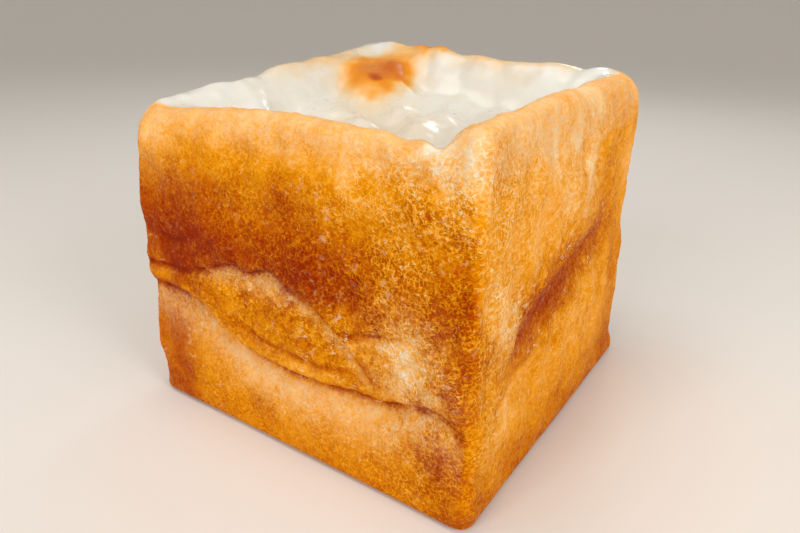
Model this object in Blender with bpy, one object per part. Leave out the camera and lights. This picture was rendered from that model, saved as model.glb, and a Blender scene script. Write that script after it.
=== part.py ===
"""Rice flour bread baked in a lidded cube tin: one solid loaf.

The loaf filled a square tin, then slumped as it cooled. Its side crusts folded in
on themselves, its rim stayed up, and its pale top sank between the rims.
Metres, +Z up, the origin under the middle of the base. The wide crust that the
photograph shows faces -Y, and its neighbour to the right faces +X.
"""

import bmesh
import bpy
import numpy as np

MM = 0.001

# Driving dimensions: the tin's inside at the foot, and how its shape rounds and leans
SIDE = 120 * MM
HEIGHT = 100 * MM
FOOT_ROUNDING = 1.6 * MM
TOP_LEAN = 1.9 * MM
RIM_PULL = 1.4 * MM

# Roundness at the four corners, in mm: front left, front right, back right, back left
EDGE_RADIUS = (4.5, 4.0, 7.0, 7.5)
WORN_AT_FOOT = (5.0, 0.0, 1.0, 2.0)
WORN_AT_RIM = (5.5, 2.0, 4.0, 1.5)
RIM_ROUNDING = (11.0, 6.0, 10.0, 8.0)

# Where these changes start and end, as shares of the height
FOOT_WEAR = (0, 0.2)
RIM_WEAR = (0.75, 1)
PULLED_IN = (0.78, 0.95)
FLAT_FOOT = (0, 0.08)

# How far along a side, as a share of half the side, the rim's pull fades out
PULL_FADES = (0.5, 0.95)

# Sunken top
WALL_RUN = 14 * MM
INNER_CORNER = 9 * MM
FLOOR_HEIGHT = 84.5 * MM
FLOOR_DISH = 4 * MM
FLOOR_TILT = 0.045
MOUND = (-35 * MM, 32 * MM, 11.5 * MM, 13 * MM)
FLOOR_RIPPLE = (0.8 * MM, 16 * MM, 5)

# Waves over the crusts
SWELL = (0.4 * MM, 38 * MM, 3)
PUCKER = (0.3 * MM, 13 * MM, 7)
RIM_WOBBLE = (0.1 * MM, 12 * MM, 11)

# Mesh
CELLS = 64
TRIANGLES = 9600
STANDS_FLAT_BELOW = 0.1 * MM

# Height of the rim's crest round the loaf, in mm, by the corner passed:
# 0 front left, 1 front right, 2 back right, 3 back left
RIM_CREST = (
    (0.04, 93.5), (0.15, 94.1), (0.32, 95.6), (0.50, 96.4), (0.63, 96.2), (0.74, 95.6),
    (0.79, 95.9), (0.83, 94.4), (0.88, 95.1), (0.93, 93.8), (0.975, 98.2), (1.03, 99.7),
    (1.19, 100.0), (1.27, 100.7), (1.45, 101.2), (1.62, 100.4), (1.75, 101.1), (1.90, 100.8),
    (2.00, 101.4), (2.06, 102.4), (2.10, 101.5), (2.20, 102.8), (2.46, 103.0), (2.52, 104.2),
    (2.58, 103.6), (2.68, 106.2), (2.72, 105.6), (2.77, 106.5), (2.82, 105.6), (2.92, 106.7),
    (3.00, 105.5), (3.17, 103.3), (3.43, 101.4), (3.53, 100.6), (3.59, 98.7), (3.82, 97.1),
    (3.96, 95.1),
)
SIDES_ROUND = 4

# Each side crust: its outward direction, and the direction that runs to the right
# when it is looked at from outside
SIDES = {
    "front": ((0, -1), (1, 0)),
    "right": ((1, 0), (0, 1)),
    "back": ((0, 1), (-1, 0)),
    "left": ((-1, 0), (0, -1)),
}

# Broad bulges and hollows, in mm: place along the crust, height, reach along, reach up,
# and how far out
BULGES = {
    "front": ((40, 90, 4.5, 3.5, 1.4), (-56, 33, 9, 6, -1.2), (-57, 17, 8, 9, -1.0), (-57, 72, 7, 5, -1.5)),
    "right": ((58, 55, 26, 30, -2.2), (56, 84, 20, 16, -0.8), (-20, 74, 26, 14, 0.6)),
    "back": ((-58, 55, 14, 18, -1.5), (10, 80, 30, 14, 0.8)),
    "left": ((57, 33, 9, 6, -1.2), (0, 72, 30, 16, 0.8), (-30, 16, 18, 9, 0.7), (57, 17, 9, 9, -1.6),
             (57, 72, 9, 5, -2.0)),
}

# Folds in the side crusts. Each line gives, in mm from left to right, the place
# along the crust, the height and how deep the crease goes in. Above a crease the
# crust rounds over within lip, below it the crust comes out again over slope.
FOLDS = {
    "front": (
        dict(lip=5.0, slope=8.0, droop=1.0, line=(
            (-59, 38.5, 1.6), (-48, 38.0, 3.6), (-38, 37.0, 4.4), (-31, 34.5, 4.4),
            (-24, 30.0, 4.3), (-16, 27.0, 4.3), (-6, 25.2, 4.2), (6, 25.0, 3.8),
            (20, 26.8, 3.4), (34, 28.8, 2.8), (46, 30.8, 2.2), (52, 29.5, 1.5), (58, 22.0, 0.0))),
        dict(lip=2.8, slope=5.0, droop=0.9, line=(
            (-59, 46.0, 1.0), (-48, 46.5, 2.2), (-34, 48.5, 2.2), (-28, 50.5, 1.4),
            (-21, 52.6, 2.4), (-12, 52.4, 2.8), (-6, 54.0, 2.4), (2, 51.4, 1.8),
            (10, 49.0, 2.2), (15, 46.0, 3.0), (21, 42.0, 3.0), (26, 38.5, 2.4), (31, 34.5, 1.2),
            (35, 31.0, 0.0))),
        dict(lip=2.0, slope=2.5, droop=0.3, line=(
            (20, 44.6, 0.0), (24, 45.0, 0.8), (30, 46.4, 0.9), (36, 47.6, 0.6), (41, 48.6, 0.0))),
        dict(lip=2.0, slope=3.0, droop=0.3, line=(
            (-57, 57.0, 0.0), (-49, 56.0, 0.9), (-42, 56.4, 1.1), (-36, 58.0, 0.7), (-29, 61.0, 0.0))),
    ),
    "right": (
        dict(lip=9.0, slope=14.0, droop=1.4, line=(
            (-58, 34.0, 0.0), (-50, 37.0, 1.2), (-38, 41.0, 2.8), (-25, 44.5, 3.6),
            (-8, 47.5, 4.0), (12, 50.5, 4.0), (28, 54.0, 3.8), (42, 59.5, 3.2), (59, 63.0, 2.2))),
        dict(lip=2.4, slope=3.5, droop=0.4, line=(
            (-48, 29.5, 0.0), (-39, 31.5, 1.3), (-30, 33.5, 0.9), (-18, 36.5, 0.0))),
    ),
    "back": (
        dict(lip=6.0, slope=11.0, droop=1.3, line=(
            (-59, 63.0, 2.2), (-44, 60.0, 3.6), (-24, 52.5, 4.6), (0, 46.0, 4.6),
            (20, 44.0, 4.0), (40, 47.0, 3.4), (59, 50.0, 2.5))),
        dict(lip=2.5, slope=5.0, droop=0.6, line=(
            (-42, 33.0, 0.0), (-20, 29.5, 1.6), (6, 30.5, 2.0), (30, 34.0, 1.4), (50, 37.0, 0.0))),
    ),
    "left": (
        dict(lip=4.0, slope=10.0, droop=1.3, line=(
            (-59, 50.0, 2.5), (-40, 46.5, 4.0), (-16, 38.0, 4.8), (10, 33.0, 4.8),
            (34, 34.0, 4.4), (48, 37.0, 3.4), (59, 38.5, 1.6))),
        dict(lip=2.4, slope=5.0, droop=0.7, line=(
            (-36, 61.0, 0.0), (-12, 57.0, 1.6), (18, 52.0, 2.0), (44, 48.0, 1.6), (59, 46.0, 0.8))),
    ),
}

CRUST_COLOUR = (0.72, 0.36, 0.09, 1.0)
CRUST_ROUGHNESS = 0.55


def ease(low, high, value):
    """0 below low and 1 above high, smooth in between."""
    t = np.clip((value - low) / (high - low), 0, 1)
    return t * t * (3 - 2 * t)


def curve_through(places, values, at):
    """The smooth curve through these values, read at the places asked for."""
    tangents = np.gradient(values, places)
    i = np.clip(np.searchsorted(places, at) - 1, 0, len(places) - 2)
    width = places[i + 1] - places[i]
    t = np.clip((at - places[i]) / width, 0, 1)
    return (
        values[i] * (2 * t**3 - 3 * t**2 + 1)
        + values[i + 1] * (3 * t**2 - 2 * t**3)
        + tangents[i] * width * (t**3 - 2 * t**2 + t)
        + tangents[i + 1] * width * (t**3 - t**2)
    )


def waves(points, height, length, seed, count=14):
    """A random swell of about this height and wavelength, the same each run."""
    random = np.random.default_rng(seed)
    directions = random.normal(size=(count, 3))
    directions /= np.linalg.norm(directions, axis=1)[:, None]
    pitches = 2 * np.pi / (length * random.uniform(0.7, 1.4, count))
    phases = random.uniform(0, 2 * np.pi, count)
    total = np.sin(points @ (directions * pitches[:, None]).T + phases).sum(axis=1)
    return height * total * np.sqrt(2 / count)


def round_the_loaf(x, y):
    """Where a point lies round the loaf, counted in corners from the front left one."""
    across = np.maximum(np.maximum(np.abs(x), np.abs(y)), 1e-9)
    on_y_side = np.abs(y) >= np.abs(x)
    front_or_back = np.where(y < 0, 0.5 + 0.5 * x / across, 2.5 - 0.5 * x / across)
    right_or_left = np.where(x > 0, 1.5 + 0.5 * y / across, 3.5 - 0.5 * y / across)
    return np.where(on_y_side, front_or_back, right_or_left)


def rim_height(x, y):
    """Height of the rim's crest in this direction from the middle."""
    places, heights = np.array(RIM_CREST).T
    places = np.concatenate([places[-3:] - SIDES_ROUND, places, places[:3] + SIDES_ROUND])
    heights = np.concatenate([heights[-3:], heights, heights[:3]]) * MM
    return curve_through(places, heights, round_the_loaf(x, y))


def by_corner(values, x, y):
    """One of four values in mm, by the nearest corner, shading into the next along a side."""
    return np.interp(round_the_loaf(x, y), range(SIDES_ROUND + 1), values + values[:1]) * MM


def edge_radius(x, y, z):
    """How round the nearest upright edge is at this height."""
    worn_at_foot = by_corner(WORN_AT_FOOT, x, y) * (1 - ease(*FOOT_WEAR, z / HEIGHT))
    worn_at_rim = by_corner(WORN_AT_RIM, x, y) * ease(*RIM_WEAR, z / HEIGHT)
    return by_corner(EDGE_RADIUS, x, y) + worn_at_foot + worn_at_rim


def rounded_box(cube):
    """Places a cube's points on the tin's rounded box, with the way out at each."""
    half = np.array([SIDE / 2, SIDE / 2, HEIGHT / 2])
    middle = np.array([0, 0, HEIGHT / 2])
    box = cube * half
    around = edge_radius(*(box + middle).T)
    rim_rounding = by_corner(RIM_ROUNDING, box[:, 0], box[:, 1])
    upright = np.where(cube[:, 2] < 0, FOOT_ROUNDING, rim_rounding)
    radii = np.stack([around, around, upright], axis=1)
    core = np.clip(box, radii - half, half - radii)
    outward = (box - core) / radii
    outward /= np.linalg.norm(outward, axis=1)[:, None]
    return core + outward * radii + middle, outward


def fold(along, height, shape):
    """How far one fold moves the crust out and up, at places on a side."""
    places, heights, depths = np.array(shape["line"]).T * MM
    crease = curve_through(places, heights, along)
    depth = np.interp(along, places, depths, left=0, right=0)
    lip, slope, droop = shape["lip"] * MM, shape["slope"] * MM, shape["droop"] * MM
    above = np.maximum(height - crease, 0)
    below = np.maximum(crease - height, 0)
    inward = np.where(height > crease, np.clip(1 - above / lip, 0, 1) ** 3, np.exp(-below / slope))
    hang = above / lip * np.exp(1 - above / lip)
    deepest = np.max(depths)
    return -depth * inward, -droop * hang * depth / deepest


def side_relief(points, outward):
    """How far the folds and swells of the side crusts move each point out and up."""
    x, y, height = points.T
    out = waves(points, *SWELL) + waves(points, *PUCKER) - TOP_LEAN * height / HEIGHT
    mid_side = 1 - ease(*PULL_FADES, np.minimum(np.abs(x), np.abs(y)) / (SIDE / 2))
    out -= RIM_PULL * mid_side * ease(*PULLED_IN, height / HEIGHT)
    up = np.zeros(len(points))
    for side, (normal, rightward) in SIDES.items():
        share = np.clip(outward[:, :2] @ np.array(normal), 0, 1) ** 2
        along = points[:, :2] @ np.array(rightward)
        for place, level, reach, reach_up, rise in BULGES[side]:
            far = ((along / MM - place) / reach) ** 2 + ((height / MM - level) / reach_up) ** 2
            out += share * rise * MM * np.exp(-far / 2)
        for shape in FOLDS[side]:
            fold_out, fold_up = fold(along, height, shape)
            out += share * fold_out
            up += share * fold_up
    beside = np.linalg.norm(outward[:, :2], axis=1) ** 2
    return out * beside * ease(*FLAT_FOOT, height / HEIGHT), up * beside


def sunken_top(points, crest):
    """Height of the pale top: the rim's crest, then a wall down to an uneven floor."""
    x, y, z = points.T
    inset = SIDE / 2 - edge_radius(x, y, z)
    from_x_wall = inset - np.abs(x)
    from_y_wall = inset - np.abs(y)
    nearest = np.minimum(from_x_wall, from_y_wall)
    overlap = np.clip(1 - np.abs(from_x_wall - from_y_wall) / INNER_CORNER, 0, 1)
    from_wall = np.maximum(nearest - overlap**2 * INNER_CORNER / 4, 0)
    mound_x, mound_y, mound_height, mound_spread = MOUND
    from_mound = (x - mound_x) ** 2 + (y - mound_y) ** 2
    floor = (
        FLOOR_HEIGHT
        + FLOOR_DISH * (x**2 + y**2) / (SIDE / 2) ** 2
        + FLOOR_TILT * (y - x)
        + mound_height * np.exp(-from_mound / (2 * mound_spread**2))
        + waves(points, *FLOOR_RIPPLE)
    )
    return crest + (floor - crest) * ease(0, WALL_RUN, from_wall)


def loaf_points(cube):
    """The loaf's surface, from the points of a cube that runs from -1 to 1."""
    points, outward = rounded_box(cube)
    crest = rim_height(points[:, 0], points[:, 1]) + waves(points, *RIM_WOBBLE)
    on_top = outward[:, 2] > 0.9999
    top = sunken_top(points, crest)
    points[:, 2] *= crest / HEIGHT
    out, up = side_relief(points, outward)
    points[:, 2] = np.where(on_top, top, np.maximum(points[:, 2] + up, 0))
    level = outward[:, :2] / np.maximum(np.linalg.norm(outward[:, :2], axis=1), 1e-9)[:, None]
    points[:, :2] += level * out[:, None]
    points[:, :2] -= (points.min(axis=0) + points.max(axis=0))[:2] / 2
    return points


def make_loaf(collection):
    """A cube's faces are cut into a fine grid, moved into the loaf's shape and thinned out."""
    form = bmesh.new()
    bmesh.ops.create_cube(form, size=2)
    bmesh.ops.subdivide_edges(form, edges=form.edges[:], cuts=CELLS - 1, use_grid_fill=True)
    cube = np.array([vertex.co for vertex in form.verts])
    for vertex, place in zip(form.verts, loaf_points(cube)):
        vertex.co = place
    mesh = bpy.data.meshes.new("loaf")
    form.to_mesh(mesh)
    form.free()
    loaf = bpy.data.objects.new("loaf", mesh)
    collection.objects.link(loaf)
    thin_out = loaf.modifiers.new("thin_out", "DECIMATE")
    thin_out.ratio = TRIANGLES / (12 * CELLS**2)
    loaf.data = bpy.data.meshes.new_from_object(loaf.evaluated_get(bpy.context.evaluated_depsgraph_get()))
    loaf.modifiers.clear()
    for vertex in loaf.data.vertices:
        if vertex.co.z < STANDS_FLAT_BELOW:
            vertex.co.z = 0
    loaf.data.shade_smooth()
    return loaf


def crust_material():
    material = bpy.data.materials.new("crust")
    material.use_nodes = True
    shader = material.node_tree.nodes["Principled BSDF"]
    shader.inputs["Base Color"].default_value = CRUST_COLOUR
    shader.inputs["Roughness"].default_value = CRUST_ROUGHNESS
    return material


def main():
    for old in list(bpy.data.objects):
        bpy.data.objects.remove(old)
    collection = bpy.data.collections.new("rice_flour_bread")
    bpy.context.scene.collection.children.link(collection)
    loaf = make_loaf(collection)
    loaf.data.materials.append(crust_material())


main()
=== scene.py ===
"""Looks of the rice flour bread: the loaf's fine form, its baked crust and its moist top."""
import math

import bmesh
import bpy
import numpy as np
from mathutils import Matrix, Vector


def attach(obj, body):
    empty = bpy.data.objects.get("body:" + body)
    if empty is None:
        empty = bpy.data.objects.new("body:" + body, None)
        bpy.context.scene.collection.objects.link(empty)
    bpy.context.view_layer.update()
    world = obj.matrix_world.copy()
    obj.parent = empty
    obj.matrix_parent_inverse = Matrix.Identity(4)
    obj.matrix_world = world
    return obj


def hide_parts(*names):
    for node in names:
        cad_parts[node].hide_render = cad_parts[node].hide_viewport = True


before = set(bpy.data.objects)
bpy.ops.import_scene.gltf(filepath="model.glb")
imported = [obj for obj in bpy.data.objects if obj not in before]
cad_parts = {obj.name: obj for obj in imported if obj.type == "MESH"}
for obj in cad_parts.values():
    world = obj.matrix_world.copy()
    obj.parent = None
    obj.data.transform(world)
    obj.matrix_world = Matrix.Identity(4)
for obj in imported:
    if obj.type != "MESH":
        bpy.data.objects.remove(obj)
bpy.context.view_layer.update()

MM = 0.001

# The loaf's form, as its solid has it: the tin's inside at the foot, and how it rounds and leans
SIDE = 120 * MM
HEIGHT = 100 * MM
FOOT_ROUNDING = 1.6 * MM
TOP_LEAN = 1.9 * MM
RIM_PULL = 1.4 * MM

# Roundness at the four corners, in mm: front left, front right, back right, back left
EDGE_RADIUS = (4.5, 4.0, 7.0, 7.5)
WORN_AT_FOOT = (5.0, 0.0, 1.0, 2.0)
WORN_AT_RIM = (5.5, 2.0, 4.0, 1.5)
RIM_ROUNDING = (11.0, 6.0, 10.0, 8.0)

# Where these changes start and end, as shares of the height
FOOT_WEAR = (0, 0.2)
RIM_WEAR = (0.75, 1)
PULLED_IN = (0.78, 0.95)
FLAT_FOOT = (0, 0.08)

# How far along a side, as a share of half the side, the rim's pull fades out
PULL_FADES = (0.5, 0.95)

# Sunken top. The mound has its x, y, height and spread, the ripple its height, length and seed
WALL_RUN = 14 * MM
INNER_CORNER = 9 * MM
FLOOR_HEIGHT = 84.5 * MM
FLOOR_DISH = 4 * MM
FLOOR_TILT = 0.045
MOUND = (-35 * MM, 32 * MM, 11.5 * MM, 13 * MM)
FLOOR_RIPPLE = (0.8 * MM, 16 * MM, 5)

# Waves over the crusts and the rim: height, length and seed
SWELL = (0.4 * MM, 38 * MM, 3)
PUCKER = (0.3 * MM, 13 * MM, 7)
RIM_WOBBLE = (0.1 * MM, 12 * MM, 11)

# Height of the rim's crest round the loaf, in mm, by the corner passed:
# 0 front left, 1 front right, 2 back right, 3 back left
RIM_CREST = (
    (0.04, 93.5), (0.15, 94.1), (0.32, 95.6), (0.50, 96.4), (0.63, 96.2), (0.74, 95.6),
    (0.79, 95.9), (0.83, 94.4), (0.88, 95.1), (0.93, 93.8), (0.975, 98.2), (1.03, 99.7),
    (1.19, 100.0), (1.27, 100.7), (1.45, 101.2), (1.62, 100.4), (1.75, 101.1), (1.90, 100.8),
    (2.00, 101.4), (2.06, 102.4), (2.10, 101.5), (2.20, 102.8), (2.46, 103.0), (2.52, 104.2),
    (2.58, 103.6), (2.68, 106.2), (2.72, 105.6), (2.77, 106.5), (2.82, 105.6), (2.92, 106.7),
    (3.00, 105.5), (3.17, 103.3), (3.43, 101.4), (3.53, 100.6), (3.59, 98.7), (3.82, 97.1),
    (3.96, 95.1),
)
SIDES_ROUND = 4

# A normal whose height is past these is the top's or the base's
TOP_NORMAL = 0.9999
BASE_NORMAL = -0.9

# How quickly the top's edge takes the colours of the side that it meets
EDGE_SHARPNESS = 15

# Each side crust: its outward direction, and the direction that runs to the right
# when it is looked at from outside
SIDES = {
    "front": ((0, -1), (1, 0)),
    "right": ((1, 0), (0, 1)),
    "back": ((0, 1), (-1, 0)),
    "left": ((-1, 0), (0, -1)),
}

# Broad bulges and hollows, in mm: place along the crust, height, reach along, reach up,
# and how far out
BULGES = {
    "front": ((44.5, 93.5, 4, 3.2, 1.8), (-56, 33, 9, 6, -1.2), (-57, 17, 8, 9, -1.0), (-57, 72, 7, 5, -1.5)),
    "right": ((58, 55, 26, 30, -2.2), (56, 84, 20, 16, -0.8), (-20, 74, 26, 14, 0.6)),
    "back": ((-58, 55, 14, 18, -1.5), (10, 80, 30, 14, 0.8)),
    "left": ((57, 33, 9, 6, -1.2), (0, 72, 30, 16, 0.8), (-30, 16, 18, 9, 0.7), (57, 17, 9, 9, -1.6),
             (57, 72, 9, 5, -2.0)),
}

# Folds in the side crusts, with lengths in mm. line runs from left to right and gives the place
# along the crust, the height and how deep the crease goes in. Above a crease the crust rounds
# over within lip and hangs down by droop, below it the crust comes out again over slope. soft
# is how rounded the crease's bottom is.
# pale is how much lighter the crust is below the crease, how far down it stays so and over what
# distance it fades out. brown is how much darker the crust is, how far above the crease, and
# over what distance; a negative brown makes a light line along the lip, a painted highlight.
# The last pair is the painted shade in the crease itself: how dark it is, and how wide.
FOLDS = {
    "front": (
        # The first and last front folds have a negative brown: a light line along the lip, a painted
        # highlight
        dict(lip=5.0, slope=8.0, droop=1.0, pale=(0.22, 4.5, 7.5), brown=(-0.16, 4.0, 1.7), dark=(0.44, 1.4),
             line=((-59, 38.5, 1.6), (-48, 38.0, 3.6), (-38, 37.0, 4.4), (-31, 34.5, 4.4), (-24, 30.0, 4.3),
                   (-16, 27.0, 4.3), (-6, 25.2, 4.2), (6, 25.0, 3.8), (20, 26.2, 3.4), (34, 27.2, 2.8),
                   (44, 30.6, 2.2), (51, 31.6, 1.6), (58, 27.0, 0.4))),
        dict(lip=2.8, slope=5.0, droop=0.9, pale=(0.19, 1.6, 2.2), brown=(0.04, 2, 4), dark=(0.40, 1.0),
             line=((-59, 46.0, 1.0), (-48, 46.5, 2.2), (-34, 48.5, 2.2), (-28, 50.5, 1.4), (-21, 52.6, 2.4),
                   (-12, 52.4, 2.8), (-6, 54.0, 2.4), (2, 51.4, 1.8), (10, 49.0, 2.2), (15, 46.0, 3.0),
                   (20, 42.6, 2.8), (24, 39.5, 1.8), (28, 36.0, 0.6), (31, 33.5, 0.0))),
        dict(lip=2.0, slope=2.5, droop=0.3, pale=(0.12, 1.6, 1.6), brown=(0.03, 1, 2), dark=(0.28, 0.9),
             line=((20, 44.6, 0.0), (24, 45.0, 0.8), (30, 46.4, 0.9), (36, 47.6, 0.6), (41, 48.6, 0.0))),
        dict(lip=2.0, slope=3.0, droop=0.3, pale=(0.03, 2.0, 2.0), brown=(0.03, 1, 2), dark=(0.18, 1.0),
             line=((-57, 57.0, 0.0), (-49, 56.0, 0.9), (-42, 56.4, 1.1), (-36, 58.0, 0.7), (-29, 61.0, 0.0))),
        dict(lip=1.8, slope=2.2, droop=0.2, pale=(0.10, 1.2, 1.5), brown=(-0.06, 2.4, 1.2), dark=(0.18, 0.8),
             line=((-20, 36.5, 0.0), (-10, 34.4, 0.7), (0, 33.0, 0.8), (10, 32.6, 0.7), (22, 34.0, 0.0))),
    ),
    "right": (
        dict(lip=13.0, slope=14.0, droop=1.0, soft=4.0, pale=(0.0, 8.0, 7.0), brown=(0.34, 2.0, 11.0),
             dark=(0.0, 3.0),
             line=((-48, 37.5, 0.0), (-40, 40.5, 0.5), (-32, 43.0, 1.8), (-25, 44.5, 2.6), (-8, 47.5, 3.0),
                   (12, 50.5, 3.0), (28, 54.0, 2.4), (42, 59.5, 1.0), (59, 63.0, 0.2))),
        dict(lip=2.4, slope=3.5, droop=0.4, pale=(0.10, 2.0, 2.4), brown=(0.03, 1, 3), dark=(0.14, 1.0),
             line=((-48, 29.5, 0.0), (-39, 31.5, 1.3), (-30, 33.5, 0.9), (-18, 36.5, 0.0))),
    ),
    "back": (
        dict(lip=6.0, slope=11.0, droop=1.3, pale=(0.22, 6.0, 7.0), brown=(0.10, 3, 7), dark=(0.16, 1.2),
             line=((-59, 63.0, 2.2), (-44, 60.0, 3.6), (-24, 52.5, 4.6), (0, 46.0, 4.6), (20, 44.0, 4.0),
                   (40, 47.0, 3.4), (59, 50.0, 2.5))),
        dict(lip=2.5, slope=5.0, droop=0.6, pale=(0.14, 2.5, 3.0), brown=(0.04, 1, 3), dark=(0.22, 1.0),
             line=((-42, 33.0, 0.0), (-20, 29.5, 1.6), (6, 30.5, 2.0), (30, 34.0, 1.4), (50, 37.0, 0.0))),
    ),
    "left": (
        dict(lip=4.0, slope=10.0, droop=1.3, pale=(0.26, 5.5, 6.5), brown=(0.05, 2, 5), dark=(0.18, 1.2),
             line=((-59, 50.0, 2.5), (-40, 46.5, 4.0), (-16, 38.0, 4.8), (10, 33.0, 4.8), (34, 34.0, 4.4),
                   (48, 37.0, 3.4), (59, 38.5, 1.6))),
        dict(lip=2.4, slope=5.0, droop=0.7, pale=(0.16, 2.4, 3.0), brown=(0.05, 2, 4), dark=(0.26, 1.0),
             line=((-36, 61.0, 0.0), (-12, 57.0, 1.6), (18, 52.0, 2.0), (44, 48.0, 1.6), (59, 46.0, 0.8))),
    ),
}

# How brown each side crust is by height in mm, from 0, white, to 1, almost burnt
BROWNING = {
    "front": ((0, 0.61), (4, 0.55), (8, 0.53), (12, 0.52), (16, 0.51), (22, 0.51), (28, 0.57),
              (34, 0.62), (40, 0.58), (45, 0.61), (49, 0.70), (53, 0.82), (57, 0.87), (62, 0.85),
              (66, 0.79), (70, 0.73), (74, 0.66), (78, 0.59), (81, 0.53), (84, 0.46), (88, 0.37),
              (92, 0.32), (98, 0.27), (108, 0.24)),
    "right": ((0, 0.68), (4, 0.62), (8, 0.58), (12, 0.53), (16, 0.48), (20, 0.45), (24, 0.41),
              (28, 0.40), (34, 0.45), (40, 0.48), (48, 0.50), (56, 0.46), (64, 0.41), (72, 0.38),
              (80, 0.38), (88, 0.35), (96, 0.31), (102, 0.27), (108, 0.25)),
    "back": ((0, 0.68), (6, 0.58), (16, 0.48), (28, 0.46), (40, 0.54), (50, 0.70), (58, 0.78),
             (66, 0.74), (74, 0.62), (82, 0.48), (90, 0.34), (98, 0.26), (108, 0.22)),
    "left": ((0, 0.70), (5, 0.58), (14, 0.48), (26, 0.48), (38, 0.56), (46, 0.66), (54, 0.82),
             (62, 0.82), (70, 0.70), (78, 0.56), (86, 0.38), (96, 0.26), (108, 0.21)),
}

# Patches that baked darker or stayed paler, in mm: place along the crust, height,
# reach along, reach up, and how much darker. A few on the front are painted light and shade,
# as marked below
PATCHES = {
    "front": (
        (-36, 57, 8, 6, 0.05), (-49, 60, 6, 9, 0.02), (-9, 64, 7, 8, -0.08), (12, 58, 9, 5, 0.03),
        (47, 58, 7, 9, -0.22), (30, 52, 8, 4, -0.08), (54, 38, 6, 18, 0.16), (56, 15, 4, 10, 0.04),
        (-48, 20, 6, 12, 0.26), (-46, 45, 8, 6, 0.30), (-46, 4, 8, 6, 0.10), (-46, 86, 8, 6, -0.06),
        (40.5, 47, 5, 5.5, -0.36), (43, 36.5, 6, 4, -0.36), (50, 22, 7, 6, 0.08),
        # (-6, 50), (-21, 49), (12, 44) and (24, 41): light chalky patches under the upper crease, partly a
        # painted highlight along its ledge
        (34, 73, 13, 7, -0.18), (-6, 50, 4.5, 2.6, -0.24), (-21, 49, 5, 2.5, -0.14),
        (12, 44, 4, 2.5, -0.14), (24, 41, 4, 2.5, -0.12), (-40, 63, 3.5, 0.9, 0.14),
        (-33, 60, 3, 0.8, 0.12), (-24, 59.5, 3.5, 0.8, 0.12), (-5, 64, 4, 0.8, 0.10),
        (-52, 92, 8, 6, 0.08), (50, 18, 3, 3.5, 0.16), (54, 4, 3, 3, 0.12),
        # (45, 89.2): a thin darker strip under the notch's lump, a painted shadow. (50, 86) and (56.5, 91):
        # the pale V below the notch, partly paler crust and partly a painted highlight
        (44.5, 94, 3.8, 3.4, -0.26), (45, 89.2, 4, 1.2, 0.10),
        (50, 86, 1.6, 4, -0.10), (56.5, 91, 3.2, 7, -0.14)),
    "right": (
        (-58, 90, 3, 7, -0.12), (-57, 40, 3, 25, 0.10), (-21, 52, 6, 4, 0.12), (-44, 51, 4, 5, -0.26),
        (-37, 48, 3, 4, -0.14), (-50, 58, 5, 6, -0.10), (-30, 42, 3, 3.5, 0.08), (-30, 72, 6, 5, -0.08),
        (-6, 45, 14, 5, 0.10), (44, 62, 7, 9, -0.16), (-41, 24, 6, 4, -0.12),
        (0, 38, 12, 7, -0.10), (22, 42, 12, 7, -0.12), (46, 22, 5, 22, 0.14), (47, 62, 5, 22, 0.06),
        (54, 64, 6, 10, -0.15), (30, 82, 9, 14, 0.10), (-5, 88, 2.5, 5, -0.14), (8, 77, 2.6, 7, -0.20),
        (-23, 91, 2.6, 4.5, -0.18), (12, 98, 4, 3, -0.12), (-30, 94, 8, 6, -0.05), (-14, 78, 2.6, 5, -0.12)),
    "back": (
        (20, 60, 18, 7, 0.10), (-40, 66, 12, 7, 0.08), (-56, 22, 5, 18, 0.16), (56, 24, 5, 20, 0.12),
        (40, 92, 12, 6, -0.08), (-10, 36, 12, 4, -0.10), (-12, 68, 8, 8, -0.10)),
    "left": (
        (16, 60, 14, 7, 0.08), (-34, 62, 10, 7, 0.06), (52, 20, 6, 13, 0.24), (-54, 26, 5, 20, 0.16),
        (46, 90, 11, 8, -0.10), (-4, 66, 8, 8, -0.10)),
}

# Where the crust wrinkled most, in mm: place along, height, reach along, reach up, how much
WRINKLED = {
    "front": ((4, 42, 40, 8, 0.8), (20, 58, 30, 10, 0.45), (-44, 58, 10, 8, 0.6), (0, 18, 50, 9, 0.30)),
    "right": ((-10, 50, 26, 10, 0.9), (0, 30, 40, 10, 0.4), (10, 80, 30, 16, 0.5)),
    "back": ((0, 40, 40, 9, 0.9), (0, 66, 40, 12, 0.4)),
    "left": ((0, 44, 40, 9, 0.9), (0, 66, 40, 12, 0.4)),
}

# Where the crust crazed into a fine bright web, given in the same way
CRAZED = {
    "front": ((20, 62, 36, 17, 0.8), (50, 44, 12, 40, 0.8), (10, 42, 40, 9, 0.25), (-38, 60, 20, 16, 0.4),
              (0, 8, 60, 10, 0.35), (50, 90, 8, 10, 0.8)),
    "right": ((-52, 44, 8, 36, 0.6), (0, 48, 44, 12, 0.45), (0, 10, 60, 12, 0.35), (-50, 90, 9, 9, 0.4),
              (-10, 82, 40, 18, 0.40), (-42, 50, 9, 8, 0.6)),
    "back": ((0, 56, 50, 20, 0.8), (0, 12, 60, 14, 0.4)),
    "left": ((0, 56, 50, 20, 0.8), (0, 12, 60, 14, 0.4)),
}

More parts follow.
